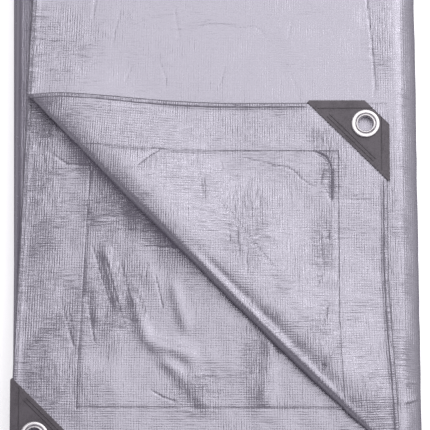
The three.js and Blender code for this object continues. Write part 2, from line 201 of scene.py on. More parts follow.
# along the fold, from its left end (0) to its near end (1)
RADIUS_AT = [(0.0, 1.5), (0.3, 5.0), (0.7, 5.0), (1.0, 1.5)]
LIFT_AT = [(0.0, 4.0), (0.1, 6.5), (0.38, 6.0), (0.48, 2.5), (0.6, 0.0), (1.0, 0.0)]
BULGE_RISE, BULGE_FADE = 12.0, (14.0, 75.0)  # from the roll to the bulge's top, and where it ends
BULGE_AT = [(0.0, 0.0), (0.08, 1.6), (0.3, 1.4), (0.42, 0.6), (0.5, 0.0), (1.0, 0.0)]
VALLEY_AT = [(0.0, 0.0), (0.42, 0.0), (0.52, 1.2), (0.65, 1.7), (0.78, 1.2), (0.9, 0.2), (1.0, 0.0)]
VALLEY_END_AT = [(0.0, 9.0), (0.5, 9.0), (0.65, 13.0), (0.8, 22.0), (1.0, 30.0)]
VALLEY_START = 2.8
LOWER_LIFT_AT = [(0.0, 0.0), (0.07, 0.5), (0.16, 4.2), (0.38, 4.5), (0.48, 1.8), (0.58, 0.0), (1.0, 0.0)]
LOWER_REACH = 24.0
LIFT_X, LIFT_Y, LIFT_HEIGHT, LIFT_LEVEL, LIFT_FADE = -154.4, -195.3, 2.5, 72.0, 165.0


def past_fold(x, y):
    return (FOLD_SUM - x - y) / ROOT2


def along_fold(x, y):
    first = 2 * LEFT_EDGES[0][1] - FOLD_SUM
    last = FOLD_SUM - 2 * PLY_RUNS[0][2]
    return clamp((x - y - first) / (last - first))


def from_table(table, place):
    for (a, low), (b, high) in zip(table, table[1:]):
        if place <= b:
            return lerp(low, high, smooth(place, a, b))
    return table[-1][1]


def roll_radius(x, y):
    return from_table(RADIUS_AT, along_fold(x, y))


def turned_back(x, y, z):
    past, share = past_fold(x, y), along_fold(x, y)
    lift = from_table(LIFT_AT, share)
    if past <= 0:
        return x, y, z + lift * (1 - smooth(-past, 0, LIFT_REACH))
    radius = roll_radius(x, y)
    angle, beyond = min(past / radius, math.pi), max(0.0, past - math.pi * radius)
    shift = (past - radius * math.sin(angle) + beyond) / ROOT2
    rolled = radius * (1 - math.cos(angle))
    rolled = lerp(rolled, min(rolled, FLAP_REST), smooth(beyond, 0, FLAP_SETTLE))
    bulge = math.sin(math.pi / 2 * clamp(beyond / BULGE_RISE)) * (1 - smooth(beyond, *BULGE_FADE))
    bulge *= from_table(BULGE_AT, share)
    valley_end = from_table(VALLEY_END_AT, share)
    valley = smooth(beyond, 0, VALLEY_START) * (1 - smooth(beyond, VALLEY_START, valley_end))
    valley *= from_table(VALLEY_AT, share)
    return x + shift, y + shift, z + rolled + bulge - valley + lift * (1 - smooth(beyond, 0, LIFT_REACH))


def lie(s, t):
    """Where the middle of the cloth at (s, t) lies, and which face of the bundle it is part of."""
    y, height, ply = across_plies(t)
    x, z, level = along_levels(s, y, height)
    if level == 0 and ply == 1:
        face = "flap" if past_fold(x, y) > 0 else "top"
        return Vector(turned_back(x, y, z)), face
    if level == 0 and ply == 2:
        corner = LIFT_HEIGHT * (1 - smooth(math.hypot(x - LIFT_X, y - LIFT_Y), LIFT_LEVEL, LIFT_FADE))
        past = past_fold(x, y)
        pulled = clamp(1 - past / LOWER_REACH) ** 2 if past > 0 else 1 - smooth(-past, 0, LIFT_REACH - 10)
        return Vector((x, y, z + corner + pulled * from_table(LOWER_LIFT_AT, along_fold(x, y)))), "under"
    return Vector((x, y, z)), "side" if ply == 1 and LEVEL_RUN < s < LEVEL_PATH[1][1] else "inside"


print("turned corner lies at", [round(v, 1) for v in lie(0, 0)[0]])

# %% [markdown]
# ## The flat sheet
#
# `create_grid` makes an even grid. Its lines are then moved to where the cloth needs them: close together in
# the plies that show, along the hem's cord and at the hem's inner line, and far apart in the plies that are
# hidden. On the second ply the left hem was turned in wider, so its inner line lies further in there. The
# mesh stays flat until its faces are split finer where the roll and the creases need it.

# %% Lines of the grid
CELL = 3.6
CORD_LINES = [0, 0.6, 1.2, 1.9, 2.6, 3.2, 3.8]  # from the free edge over the cord in the hem
HEM_LINES = [37.2, 37.7, 38.1, 38.5]  # the hem's inner edge: up to its step, the line pressed in there, and past it
HIDDEN_Y, HIDDEN_CELL = 95.0, 26.0  # the second ply is covered beyond this, and coarser


def spaced(start, end, cell=CELL):
    count = max(1, round(abs(end - start) / cell))
    return [lerp(start, end, i / count) for i in range(count)]


def from_free_edge(end):
    hem = CORD_LINES[:-1] + spaced(CORD_LINES[-1], HEM_LINES[0]) + HEM_LINES[:-1]
    return hem + spaced(HEM_LINES[-1], end)


along = from_free_edge(LEVEL_RUN)
for start, end, level, is_turn in LEVEL_PATH[1:]:
    along += spaced(start, end, (end - start) / ((12 if level == 0 else 5) if is_turn else 2))
along = along[:-1] + [SHEET_LENGTH - d for d in reversed(HEM_LINES)] + [SHEET_LENGTH]

across = from_free_edge(PLY_PATH[0][1])
for start, end, number, is_turn in PLY_PATH[1:-1]:
    across += spaced(start, end, (end - start) / ((6 if number == 0 else 4) if is_turn else 3))
covered = PLY_PATH[-1][0] + FAR_Y - HIDDEN_Y
across += spaced(PLY_PATH[-1][0], covered, HIDDEN_CELL)
across += [SHEET_WIDTH - d for d in reversed(from_free_edge(SHEET_WIDTH - covered))]
print(len(along), "lines along,", len(across), "lines across")

# %% Grid moved to its lines
WIDER_FAR, WIDER_NEAR, WIDER_FADE, WIDER_REACH = 14.0, 8.0, 60.0, 150.0


def wider_hem(t):
    """How much further in the left hem's inner line lies: on the second ply it was turned in wider."""
    wider = lerp(WIDER_FAR, WIDER_NEAR, clamp((t - covered) / (SHEET_WIDTH - covered)))
    return wider * smooth(t, covered - WIDER_FADE, covered)


sheet = bmesh.new()
bmesh.ops.create_grid(sheet, x_segments=len(along) - 1, y_segments=len(across) - 1, size=0.5)
for vert in sheet.verts:
    column, row = round((vert.co.x + 0.5) * (len(along) - 1)), round((vert.co.y + 0.5) * (len(across) - 1))
    s, t = along[column], across[row]
    fades = smooth(s, CORD_LINES[-1], HEM_LINES[0]) * (1 - smooth(s, HEM_LINES[-1], WIDER_REACH))
    vert.co = (s + wider_hem(t) * fades, t, 0)
print("flat sheet has", len(sheet.faces), "faces")

# %% [markdown]
# ## Creases
#
# Handling has left creases that fold lines don't explain: short sharp kinks, and softer troughs where the
# cloth buckled. A noise texture would scatter them anywhere, so each one that shows is listed in the
# table, as a line seen from above with a width and a height. The faces along a narrow one are first split
# finer with `subdivide_edges`, and the vertices next to its line are pulled onto it, so that even a slanted
# kink has its own edge. The two on the right side are ramps: they rise slowly and drop at once.

# %% Creases by face: width, height (troughs are negative) and the points that they follow, from above
CREASES = [
    ("top", 2.2, -0.46, [(118.5, 195.5), (118.5, 158.5), (121, 138), (123, 110), (123.5, 95), (122.5, 84)]),
    ("top", 1.6, -0.12, [(113.5, 163), (113.5, 145.5), (112.5, 117.5)]),
    ("top", 2.4, -0.27, [(-92.5, 172.5), (-95, 149.5)]),
    ("top", 2, -0.19, [(-73.5, 158.5), (-78.5, 136.5), (-80, 125.5)]),
    ("top", 1.6, -0.17, [(-121.5, 130), (-86, 127)]),
    ("top", 1.6, -0.14, [(-71, 122), (-50.5, 119.5), (-24, 119)]),
    ("top", 1.5, -0.12, [(-89, 143), (-75.5, 142.5)]),
    ("top", 1.6, -0.19, [(-121.5, 124.5), (-124, 118), (-111.5, 104)]),
    ("top", 2.4, -0.17, [(-64, 114), (-70, 99)]),
    ("top", 2.6, -0.17, [(-31.5, 158.5), (-29.5, 144), (-27.5, 133)]),
    ("top", 1.8, -0.27, [(-18, 145.5), (5.5, 145), (31.5, 143), (36.5, 139.5), (41, 133)]),
    ("top", 1.7, -0.23, [(-43.5, 115.5), (-40, 108), (-38, 101), (-39, 94.5)]),
    ("top", 1.7, -0.23, [(8, 112), (5, 101), (2.5, 95)]),
    ("top", 2.2, -0.17, [(59.5, 149.5), (56.5, 133)]),
    ("top", 1.6, -0.14, [(81, 95), (79, 89)]),
    ("top", 1.7, -0.17, [(58, 107), (63.5, 93.5)]),
    ("top", 1.6, -0.12, [(61, 142), (94, 141)]),
    ("top", 1.6, -0.12, [(93, 115), (116.5, 117.5)]),
    ("flap", 1.7, -0.63, [(-40, 45), (-50, 38.5), (-60, 30)]),
    ("flap", 3.2, -0.63, [(-9, 23.5), (-7.5, 2.5)]),
    ("flap", 1.8, -0.27, [(4.5, 35.5), (5.5, 27.5)]),
    ("flap", 1.6, -0.31, [(-57, 24.5), (-34.5, 20.5)]),
    ("flap", 1.6, -0.31, [(-24, 1.5), (-14.5, -3)]),
    ("flap", 3.6, -1.68, [(76, 43.5), (85.5, 38.5), (88.5, 32.5), (89.5, 25.5), (89, 13), (89.5, 3)]),
    ("flap", 2, -0.48, [(83, 28.5), (81, 17.5)]),
    ("flap", 1.8, -0.48, [(19, 38.5), (44, 32.5), (56.5, 30), (61, 27), (68.5, 19.5), (73.5, 16.5), (81.5, 19)]),
    ("flap", 2, -0.42, [(84.5, 13), (90, 6)]),
    ("flap", 1.5, -0.27, [(93, 7.5), (122.5, 8.5)]),
    ("flap", 1.5, -0.27, [(93, 4.5), (121, 5)]),
    ("flap", 2.4, -0.36, [(85.5, -12), (86, -35.5)]),
    ("flap", 1.7, -0.57, [(86.5, -76), (84.5, -88), (81.5, -95)]),
    ("flap", 1.7, 0.53, [(90.5, -110), (87, -119), (82.5, -129.5)]),
    ("flap", 5, -0.45, [(58, -68.5), (76, -73.5), (94, -79)]),
    ("flap", 1.8, -0.31, [(77.5, -64.5), (81.5, -55)]),
    ("flap", 1.8, -0.27, [(75, -54.5), (92, -58)]),
    ("flap", 1.6, -0.27, [(97, -85), (116, -85)]),
    ("flap", 1.6, -0.27, [(98, -89.5), (118, -92.5)]),
    ("flap", 1.8, -0.5, [(88.5, -2), (87.5, -24), (89, -48)]),
    ("flap", 1.6, -0.4, [(82, -20), (82.5, -52)]),
    ("flap", 1.7, -0.4, [(12, -6), (11, -30)]),
    ("flap", 1.7, -0.45, [(17, -14), (18, -44)]),
    ("flap", 1.6, -0.35, [(24, -24), (24.5, -56)]),
    ("flap", 2.6, -0.5, [(-2, 12), (14, -8), (30, -30), (48, -52)]),
    ("flap", 48, 1.9, [(66, -103), (100, -137), (127, -163)]),
    ("under", 7, -1.1, [(-139, 84), (-129, 62), (-112, 44)]),
    ("under", 5, -0.7, [(-143, 62), (-134, 40), (-126, 12)]),
    ("under", 1.6, 0.49, [(-96, -9), (-63, -11.5)]),
    ("under", 14, 1.8, [(-86, -28), (-80, -46), (-75, -67), (-71, -84)]),
    ("under", 11, 1.2, [(-92, -60), (-89, -95)]),
    ("under", 15, 1.9, [(-66, -62), (-57, -89), (-50, -108)]),
    ("under", 12, 1.1, [(-32, -58), (-27, -79), (-21, -98)]),
    ("under", 1.7, -0.5, [(-95, -28), (-88, -52), (-80, -78)]),
    ("under", 1.7, -0.5, [(-84, -40), (-76, -70), (-68, -96)]),
    ("under", 1.6, -0.45, [(-72, -44), (-64, -76)]),
    ("under", 1.6, -0.45, [(-98, -72), (-92, -108)]),
    ("under", 1.7, -0.5, [(-60, -60), (-52, -86)]),
    ("under", 1.6, -0.4, [(-46, -52), (-40, -80)]),
    ("under", 1.6, -0.4, [(-96, 4), (-58, 1)]),
    ("under", 1.6, -0.4, [(-88, -16), (-44, -20)]),
    ("under", 1.6, -0.4, [(-60, -30), (-24, -33)]),
    ("under", 2.6, -0.42, [(-51.5, -43), (-54, -55.5)]),
    ("under", 2.4, -0.56, [(-119.5, -67), (-107.5, -112)]),
    ("under", 1.8, -0.42, [(-114.5, -73), (-108.5, -97.5)]),
    ("under", 1.7, -0.49, [(-50, -142.5), (-39.5, -148.5), (-28.5, -152)]),
    ("under", 14, 2.0, [(43, -98), (41, -128.5), (38, -156)]),
    ("under", 18, 1.8, [(-52, -106), (-28, -112), (-14, -118)]),
    ("under", 12, 1.4, [(-44, -116), (-27, -130), (-14, -147), (-4, -160)]),
    ("under", 2.4, -0.49, [(-130, 45), (-114.5, 34), (-96, 32.5)]),
    ("side", 7, 0.42, [(143.4, -137.3), (155.5, -136.8)]),
    ("side", 10, 0.65, [(143.4, -153.0), (156.0, -148.8)]),
]


def flat_place(face, x, y):
    """Place on the flat sheet of a point that shows at (x, y) from above."""
    if face == "flap":
        back = (math.pi * roll_radius(x, y) - 2 * past_fold(x, y)) / ROOT2
        x, y = x - back, y - back
    height = SECOND_PLY if face == "under" else TOP_PLY
    t = PLY_PATH[-1][0] + FAR_Y - y if face == "under" else y - PLY_RUNS[0][2]
    edge = turn_x(0, y)
    if face == "side":
        radius = abs(RISES[0]) / 2
        return Vector((LEVEL_RUN + radius * math.asin(clamp((x - edge) / (radius + height))), t, 0))
    start = left_edge(height, y)
    return Vector((LEVEL_RUN * (x - start) / (edge - start), t, 0))


def from_segment(point, a, b):
    """Distance of a flat point from the segment a to b, and its share of the way along."""
    along_it = b - a
    share = clamp((point - a).dot(along_it) / along_it.length_squared)
    return (point - a - along_it * share).length, share


# %% Faces split finer along the roll and the narrow creases
NARROW_HALF = 1.9  # creases with a smaller half width than this need finer faces
ROLL_FROM, ROLL_TO = -5, 22  # stretch of cloth past the fold that goes round the roll
crease_lines = []  # face, half width, height, flat points and their shares of the crease's length
for face, width, height, points in CREASES:
    places = [flat_place(face, *p) for p in points]
    lengths = [(b - a).length for a, b in zip(places, places[1:])]
    shares = [sum(lengths[:i]) / sum(lengths) for i in range(len(places))]
    crease_lines.append((face, width / 2, height, places, shares))
narrow = [
    (a, b) for face, half, _, places, _ in crease_lines if half < NARROW_HALF or face == "side"
    for a, b in zip(places, places[1:])
]


def split(faces, cuts):
    edges = list({e for f in faces for e in f.edges})
    bmesh.ops.subdivide_edges(sheet, edges=edges, cuts=cuts, use_grid_fill=True)


def near_segment(point, a, b, reach):
    middle, half = (a + b) / 2, (b - a) / 2
    if abs(point.x - middle.x) > abs(half.x) + reach or abs(point.y - middle.y) > abs(half.y) + reach:
        return False
    return from_segment(point, a, b)[0] < reach


roll_faces = []
for face in sheet.faces:
    s, t = face.calc_center_median().xy
    y, height, ply = across_plies(t)
    if ply == 1 and s < LEVEL_RUN and ROLL_FROM < past_fold(along_levels(s, y, height)[0], y) < ROLL_TO:
        roll_faces.append(face)
split(roll_faces, 1)
kinked, middles = set(), [(f, f.calc_center_median()) for f in sheet.faces]
for a, b in narrow:
    kinked |= {f for f, middle in middles if near_segment(middle, a, b, 0.8 * CELL)}
split(kinked, 3)
for a, b in narrow:
    for vert in sheet.verts:
        if near_segment(vert.co, a, b, CELL / 9):
            vert.co = a.lerp(b, from_segment(vert.co, a, b)[1])
print(len(crease_lines), "creases; flat sheet has", len(sheet.faces), "faces")

# %% [markdown]
# ## Holes for the eyelets, and the flat pattern kept as a UV map
#
# The eyelet's barrel goes through the cloth, so the faces round it go, and the patch hides the rough edge.
# The cloth's weave runs with the flat sheet and not with the world, so the flat places are kept in a UV map,
# in metres, before the sheet is folded.

# %% Eyelet holes and UV map
EYELET_INSET = 16.8
HOLE_SPLIT, HOLE_CUT = 11, 7.4  # faces this near a hole's middle are split, or go
holes = [Vector((EYELET_INSET, t, 0)) for t in (EYELET_INSET, SHEET_WIDTH - EYELET_INSET)]


def round_holes(reach):
    return [f for f in sheet.faces if min((f.calc_center_median() - h).length for h in holes) < reach]


split(round_holes(HOLE_SPLIT), 2)
pierced = round_holes(HOLE_CUT)
bmesh.ops.delete(sheet, geom=pierced, context="FACES")

weave_uv = sheet.loops.layers.uv.new("weave")
for face in sheet.faces:
    for loop in face.loops:
        loop[weave_uv].uv = loop.vert.co.xy * MM
print(len(pierced), "faces cut out for the eyelets")

# %% [markdown]
# ## Folding, and the cloth's own relief
#
# Each vertex goes where the paths put it. Then it moves a little along its normal: by the creases, by a slow
# waviness that no cloth is without, and by the cord in the hem. Troughs stay about as shallow as the gap to
# the ply below.

# %% Folded sheet
CLOTH = 0.45
HEM_EXTRA = 0.3  # the border is turned in, so the inner face steps up there
HEM_LINE_THICK = 0.24  # along the line pressed in at the hem's inner edge
CORD_HEIGHT, CORD_WIDTH = 0.65, 3.6
CORD_LEAVES_PATCH = (60, 64)  # from the corner
CORD_UNDER_ROLL = (76, 88)  # y where the second ply's cord goes out of sight
crumple_layer = sheet.verts.layers.float.new("crumpled")
flat_of = {}
face_of = {}
for vert in sheet.verts:
    flat_of[vert] = vert.co.copy()
    place, face_of[vert] = lie(vert.co.x, vert.co.y)
    vert.co = place * MM
sheet.normal_update()


def crease_height(face, flat):
    total = 0.0
    for on_face, half, height, places, shares in crease_lines:
        if on_face != face:
            continue
        nearest = (half, 0.0)
        for i in range(len(places) - 1):
            a, b = places[i], places[i + 1]
            if min(a.y, b.y) - half < flat.y < max(a.y, b.y) + half:
                away, share = from_segment(flat, a, b)
                # a crease on the side drops at once on its near side
                below = face == "side" and flat.y < lerp(a.y, b.y, share) - 0.01
                if away < nearest[0] and not below:
                    nearest = (away, lerp(shares[i], shares[i + 1], share))
        away, share = nearest
        total += height * (1 - smooth(away, 0, half)) * smooth(min(share, 1 - share), -0.02, 0.14)
    return total


HANDLED = {"top": 0.34, "flap": 0.76, "under": 0.58, "side": 0.8, "inside": 0.3}
CRUMPLED = [  # face, middle and half sizes from above, and how much the cloth is crumpled there
    ("top", -122, 128, 42, 40, 0.6),
    ("top", -147, 98, 12, 14, 0.9),
    ("top", -143, 150, 8, 70, 0.8),
    ("top", 130, 140, 14, 70, 0.6),
    ("top", 141, -60, 14, 190, 0.6),
    ("flap", -122, 76, 20, 26, 0.5),
    ("flap", 82, 54, 12, 12, 0.6),
    ("flap", 91, 30, 12, 24, 0.7),
    ("flap", 120, -160, 20, 34, 0.6),
    ("flap", 26, -22, 24, 44, 0.4),
    ("flap", 84, -105, 20, 30, 0.4),
    ("flap", 84, -30, 12, 36, 0.6),
    ("under", -136, 37, 20, 60, 0.6),
    ("under", -133, 72, 16, 26, 1.2),
    ("under", -70, -6, 50, 34, 0.8),
    ("under", -112, -90, 15, 32, 0.5),
    ("under", -77, -72, 34, 44, 0.9),
    ("under", 31, -128, 15, 38, 0.7),
    ("under", -15, -144, 26, 24, 0.9),
    ("under", -118, -140, 34, 28, 0.6),
    ("under", -134, -45, 24, 120, 0.8),
]
WAVES = {"top": 0.2, "flap": 0.35, "under": 0.45, "side": 0.3, "inside": 0.0}


def crumpled(face, place):
    """How much the cloth is crumpled at a place of the bundle in mm, from 0.3 up to about 2."""
    total = HANDLED[face]
    for on_face, x, y, half_x, half_y, amount in CRUMPLED:
        if on_face == face:
            total += amount * (1 - smooth(math.hypot((place.x - x) / half_x, (place.y - y) / half_y), 0.3, 1.1))
    return total


def waviness(face, flat, amount):
    slow = noise.noise(Vector((flat.x / 26, flat.y / 34, 3.1)))
    quick = noise.noise(Vector((flat.x / 10, flat.y / 17, 7.7)))
    return WAVES[face] * (slow + 1.5 * amount * quick)


def cord_round(face, s, t):
    """Height of the hem's cord above the cloth, where a hem lies free."""
    left, near = (s, t) if face != "under" else (s, SHEET_WIDTH - t)
    along_left = smooth(near, *CORD_LEAVES_PATCH)
    if face == "under":
        y = PLY_PATH[-1][0] + FAR_Y - t
        along_left *= 1 - smooth(y, *CORD_UNDER_ROLL)
    along_near = smooth(left, *CORD_LEAVES_PATCH)
    total = 0.0
    for away, shown in ((left, along_left), (near, along_near)):
        out = (away - CORD_WIDTH / 2) / (CORD_WIDTH / 2)
        total = max(total, shown * math.sqrt(max(0.0, 1 - out * out)))
    return CORD_HEIGHT * total


thickness_of = {}
shown_side = {"top": 1, "side": 1, "inside": 1, "flap": -1, "under": -1}
moved = {}
for vert in sheet.verts:
    flat, face = flat_of[vert], face_of[vert]
    from_left = flat.x - (wider_hem(flat.y) if flat.x > HEM_LINES[0] else 0)
    from_edge = min(from_left, SHEET_LENGTH - flat.x, flat.y, SHEET_WIDTH - flat.y)
    thickness = CLOTH + (HEM_EXTRA if from_edge < HEM_LINES[1] + 0.1 else 0)
    if abs(from_edge - HEM_LINES[2]) < 0.15:
        thickness = HEM_LINE_THICK
    vert[crumple_layer] = crumpled(face, vert.co / MM)
    up = shown_side[face] * (crease_height(face, flat) + waviness(face, flat, vert[crumple_layer]))
    if face in ("top", "flap", "under"):
        cord = cord_round(face, flat.x, flat.y)
        vert[crumple_layer] += cord
        thickness += cord
        up += cord if face == "top" else 0
    thickness_of[vert] = thickness
    moved[vert] = vert.co + vert.normal * (CLOTH / 2 + up) * MM
for vert, place in moved.items():
    vert.co = place
print("folded sheet is", [round((max(c) - min(c)) / MM, 1) for c in zip(*(v.co for v in sheet.verts))], "mm")

# %% [markdown]
# ## Thickness
#
# The mesh so far is the cloth's outer face. A Solidify modifier adds the inner face and the rim, and a vertex
# group scales it, so that the turned-in hem is thicker and the cord in it stands up on the inner side.

# %% Sheet object with its thickness
MOST_THICK = 2.2
for face in sheet.faces:
    face.smooth = True
tarp_mesh = bpy.data.meshes.new("tarp_cloth")
weights = [thickness_of[v] / MOST_THICK for v in sheet.verts]
sheet.to_mesh(tarp_mesh)
sheet.free()
tarp = bpy.data.objects.new("tarp_cloth", tarp_mesh)
bpy.context.scene.collection.objects.link(tarp)
group = tarp.vertex_groups.new(name="thickness")
for index, weight in enumerate(weights):
    group.add([index], min(1.0, weight), "REPLACE")
solidify = tarp.modifiers.new("inner face", "SOLIDIFY")
solidify.thickness = MOST_THICK * MM
solidify.offset = -1
solidify.vertex_group = group.name
solidify.thickness_vertex_group = 0.0
print("tarp has", len(tarp_mesh.polygons), "faces before its inner side")

# %% [markdown]
# ## Corner patches
#
# Each patch is a moulded plastic sleeve over the two hems of a corner. Its solid already has the right slot,
# grooves and ribs, so a copy of that mesh is merged and its flat faces joined. The relief is too low there to
# catch the light, so it is made a little clearer. Moulding never leaves a sharp outer edge, so the long edges
# of the copy are bevelled.

# %% Patches with softened edges
PATCH_EDGE = 0.6
RELIEF = 0.35  # grooves and ribs stand this much clearer than in the solid
RIB_TO_GROOVE, RIB_TO_FACE = 0.55, 0.26  # from the ribs' tops down to the grooves' floors, and past the flat face
LONG_EDGE, BIG_FACE = 3, 20  # mm and square mm


def made_object(name, mesh_code):
    mesh = bpy.data.meshes.new(name)
    mesh_code.to_mesh(mesh)
    mesh_code.free()
    made = bpy.data.objects.new(name, mesh)
    bpy.context.scene.collection.objects.link(made)
    return made


def soft_patch(node, name):
    patch = bmesh.new()
    patch.from_mesh(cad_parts[node].data)
    bmesh.ops.remove_doubles(patch, verts=patch.verts, dist=0.002 * MM)
    bmesh.ops.dissolve_limit(patch, angle_limit=math.radians(1), verts=patch.verts, edges=patch.edges)
    low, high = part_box(node)
    for vert in patch.verts:
        if vert.co.z > high.z - 0.01 * MM:
            vert.co.z += RELIEF * MM
        elif abs(vert.co.z - (high.z - RIB_TO_GROOVE * MM)) < 0.02 * MM:
            vert.co.z -= RELIEF * MM
    long_edges = [
        e for e in patch.edges
        if e.is_manifold and e.calc_length() > LONG_EDGE * MM and e.calc_face_angle(0) > math.radians(40)
        and e.is_convex and all(v.co.z < low.z + 0.01 * MM or v.co.z > high.z - RIB_TO_FACE * MM for v in e.verts)
        and min(f.calc_area() for f in e.link_faces) > BIG_FACE * MM * MM
    ]
    bmesh.ops.bevel(
        patch, geom=long_edges, offset=PATCH_EDGE * MM, offset_type="OFFSET", affect="EDGES",
        segments=3, profile=0.5, material=-1, clamp_overlap=True,
    )
    print(name, len(long_edges), "edges softened,", len(patch.faces), "faces")
    return made_object(name, patch)


patches = {n: soft_patch(f"corner_patch_{n}", f"patch_{n}") for n in ("turned", "lower")}

# %% [markdown]
# ## Eyelets
#
# An eyelet is stamped from plated sheet metal in two parts: a flange whose barrel goes through the cloth, and
# a washer below that the barrel is rolled over. Both are round, so one half section is spun a full turn.

# %% Eyelets spun from a half section
SECTION = [  # radius, height above the middle of the cloth
    (6.00, -2.80), (6.12, -2.90), (10.4, -2.90), (10.8, -2.80), (11.0, -2.45), (10.8, -2.10), (10.4, -2.00),
    (6.70, -2.00), (6.70, 2.45), (10.7, 2.45), (10.92, 2.58), (11.0, 2.82), (10.88, 3.06), (10.5, 3.24),
    (9.8, 3.37), (8.9, 3.36), (8.35, 3.28), (8.05, 3.08), (7.8, 2.95), (7.55, 3.06), (7.25, 3.32), (6.9, 3.46),
    (6.55, 3.46), (6.22, 3.30), (6.05, 3.02), (6.00, 2.70),
]
SPIN_STEPS = 96
FLANGE_TOP = 2.45 + 0.9 * 1.2  # of the solid, above the middle of the cloth


def spun_eyelet(node, name):
    low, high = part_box(node)
    centre = Vector(((low.x + high.x) / 2, (low.y + high.y) / 2, high.z - FLANGE_TOP * MM))
    ring = bmesh.new()
    corners = [ring.verts.new((centre.x + r * MM, centre.y, centre.z + h * MM)) for r, h in SECTION]
    edges = [ring.edges.new(pair) for pair in zip(corners, corners[1:] + corners[:1])]
    bmesh.ops.spin(
        ring, geom=corners + edges, cent=centre, axis=(0, 0, 1), angle=2 * math.pi, steps=SPIN_STEPS, use_merge=True,
    )
    bmesh.ops.remove_doubles(ring, verts=ring.verts, dist=0.001 * MM)
    bmesh.ops.recalc_face_normals(ring, faces=ring.faces)
    for face in ring.faces:
        face.smooth = True
    for edge in ring.edges:
        edge.smooth = edge.calc_face_angle(0) < math.radians(50)
    print(name, "has", len(ring.faces), "faces")
    return made_object(name, ring)


eyelets = {n: spun_eyelet(f"eyelet_{n}", f"ring_{n}") for n in ("turned", "lower")}


# %% [markdown]
# ## Materials
#
# A Principled shader holds each finish. One function turns the usual hex colours into the linear numbers that
# Blender wants, and one adds a node with its settings and links, so that each material reads as a list.

# %% Colour and node helpers
def colour(hex_code):
    parts = [int(hex_code[i:i + 2], 16) / 255 for i in (1, 3, 5)]
    return (*[p / 12.92 if p <= 0.04045 else ((p + 0.055) / 1.055) ** 2.4 for p in parts], 1.0)


def add_node(tree, kind, inputs=None, **settings):
    node = tree.nodes.new("ShaderNode" + kind)
    for name, value in settings.items():
        setattr(node, name, value)
    for socket, value in (inputs or {}).items():
        if isinstance(value, bpy.types.NodeSocket):
            tree.links.new(value, node.inputs[socket])
        else:
            node.inputs[socket].default_value = value
    return node


def new_material(name):
    material = bpy.data.materials.new(name)
    material.use_nodes = True
    return material, material.node_tree, material.node_tree.nodes["Principled BSDF"]


# %% [markdown]
# ### Coated woven polythene
#
# Flat polythene tapes are woven and laminated under a thin film that holds aluminium flake. The flake makes
# it half metallic: it mirrors what is above it and goes dark where it tilts away, and the smooth film
# keeps its roughness low. The tapes print through as a fine check, and every fold leaves tiny kinks along
# them that catch the light. Both are stronger where the cloth has been handled more. The colour follows the
# kinks as painted shade and painted highlight: darker in their troughs and lighter on their crests.

# %% Cloth material
cloth, tree, shader = new_material("aluminium-pigmented coated woven polythene")
TAPE_PITCH = 1.9  # mm; about the real width of a tape, and just coarse enough to show
WAVE_PERIOD = 2 * math.pi / 20  # Blender's wave texture repeats after this at scale 1
KINK_WIDE, KINK_LONG = 1.0 * MM, 16 * MM
WEAVE_DEEP, KINK_DEEP, CRUMPLE_DEEP = 0.14 * MM, 0.7 * MM, 0.14 * MM  # deeper than real, so that they show
flat = add_node(tree, "UVMap", uv_map="weave").outputs["UV"]
worn = add_node(tree, "Attribute", attribute_name="crumpled").outputs["Fac"]
tapes = {"Vector": flat, "Scale": WAVE_PERIOD / (TAPE_PITCH * MM), "Distortion": 0.9, "Detail": 2.0,
         "Detail Scale": 0.5}
warp, weft = (add_node(tree, "TexWave", tapes, bands_direction=way) for way in "XY")
long_way = add_node(tree, "Mapping", {"Vector": flat, "Scale": (1 / KINK_WIDE, 1 / KINK_LONG, 1)})
cross_way = add_node(tree, "Mapping", {"Vector": flat, "Scale": (1 / KINK_LONG, 1 / KINK_WIDE, 1)})
kinks_long = add_node(tree, "TexNoise", {"Vector": long_way.outputs[0], "Scale": 1.0, "Detail": 1.0})
kinks_cross = add_node(tree, "TexNoise", {"Vector": cross_way.outputs[0], "Scale": 1.0, "Detail": 1.0})
patchy = add_node(tree, "TexNoise", {"Vector": flat, "Scale": 1 / (30 * MM), "Detail": 2.0})
patchy_long = add_node(tree, "MapRange", {"Value": patchy.outputs["Fac"], 1: 0.35, 2: 0.65, 3: 0.15, 4: 1.0})
patchy_cross = add_node(tree, "MapRange", {"Value": patchy.outputs["Fac"], 1: 0.35, 2: 0.65, 3: 1.0, 4: 0.15})
warp_part = add_node(tree, "Math", {0: warp.outputs["Fac"], 1: patchy_long.outputs[0]}, operation="MULTIPLY")
weave = add_node(tree, "Math", {0: weft.outputs["Fac"], 1: patchy_cross.outputs[0], 2: warp_part.outputs[0]},
                 operation="MULTIPLY_ADD")
sharp_long = add_node(tree, "Math", {0: kinks_long.outputs["Fac"], 1: 0.5}, operation="PINGPONG")
sharp_cross = add_node(tree, "Math", {0: kinks_cross.outputs["Fac"], 1: 0.5}, operation="PINGPONG")
long_part = add_node(tree, "Math", {0: sharp_long.outputs[0], 1: patchy_long.outputs[0]}, operation="MULTIPLY")
kinks = add_node(tree, "Math", {0: sharp_cross.outputs[0], 1: patchy_cross.outputs[0], 2: long_part.outputs[0]},
                 operation="MULTIPLY_ADD")
crumple = add_node(tree, "TexNoise", {"Vector": flat, "Scale": 1 / (2.6 * MM), "Detail": 3.0, "Roughness": 0.6})

weave_height = add_node(tree, "Math", {0: weave.outputs[0], 1: WEAVE_DEEP}, operation="MULTIPLY")
kink_height = add_node(tree, "Math", {0: kinks.outputs[0], 1: KINK_DEEP, 2: weave_height.outputs[0]},
                       operation="MULTIPLY_ADD")
height = add_node(tree, "Math", {0: crumple.outputs["Fac"], 1: CRUMPLE_DEEP, 2: kink_height.outputs[0]},
                  operation="MULTIPLY_ADD")
worn_height = add_node(tree, "Math", {0: height.outputs[0], 1: worn}, operation="MULTIPLY")
bump = add_node(tree, "Bump", {"Height": worn_height.outputs[0], "Strength": 1.0, "Distance": 1.0})
